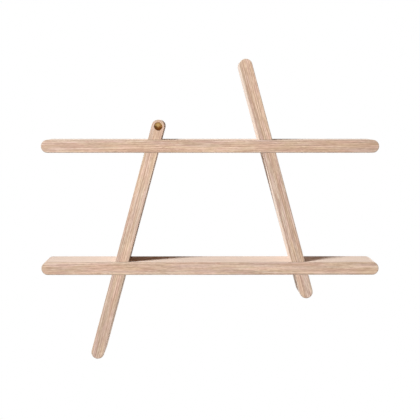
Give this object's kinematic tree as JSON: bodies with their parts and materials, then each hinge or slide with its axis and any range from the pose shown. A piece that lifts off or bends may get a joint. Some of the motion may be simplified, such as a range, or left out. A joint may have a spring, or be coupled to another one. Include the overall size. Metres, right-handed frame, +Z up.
{
  "type": "wall shelf",
  "caption": "Wall-hung shelf: level oak boards crossed by leaning upright boards in halving joints, with a low domed brass button in front and keyhole hanger plates behind.",
  "frame": {"origin": "middle of the upper shelf's back edge, on the wall plane", "axes": "+X to the right as seen from the front, along the shelves; +Y into the wall; +Z up"},
  "size_m": [0.52, 0.123, 0.4622],
  "materials": {
    "oak": "fine sanded and pale soaped, with straight streaky grain along each board",
    "brass": "turned and satin polished, aged to a warm brown",
    "zinc_plated_steel": "bright zinc plated"
  },
  "bodies": {
    "root": {"upper_shelf": "oak", "lower_shelf": "oak", "left_upright": "oak", "right_upright": "oak", "brass_button": "brass", "left_hanger_plate": "zinc_plated_steel", "left_hanger_screw_outer": "zinc_plated_steel", "left_hanger_screw_inner": "zinc_plated_steel", "right_hanger_plate": "zinc_plated_steel", "right_hanger_screw_outer": "zinc_plated_steel", "right_hanger_screw_inner": "zinc_plated_steel"}
  },
  "joints": []
}
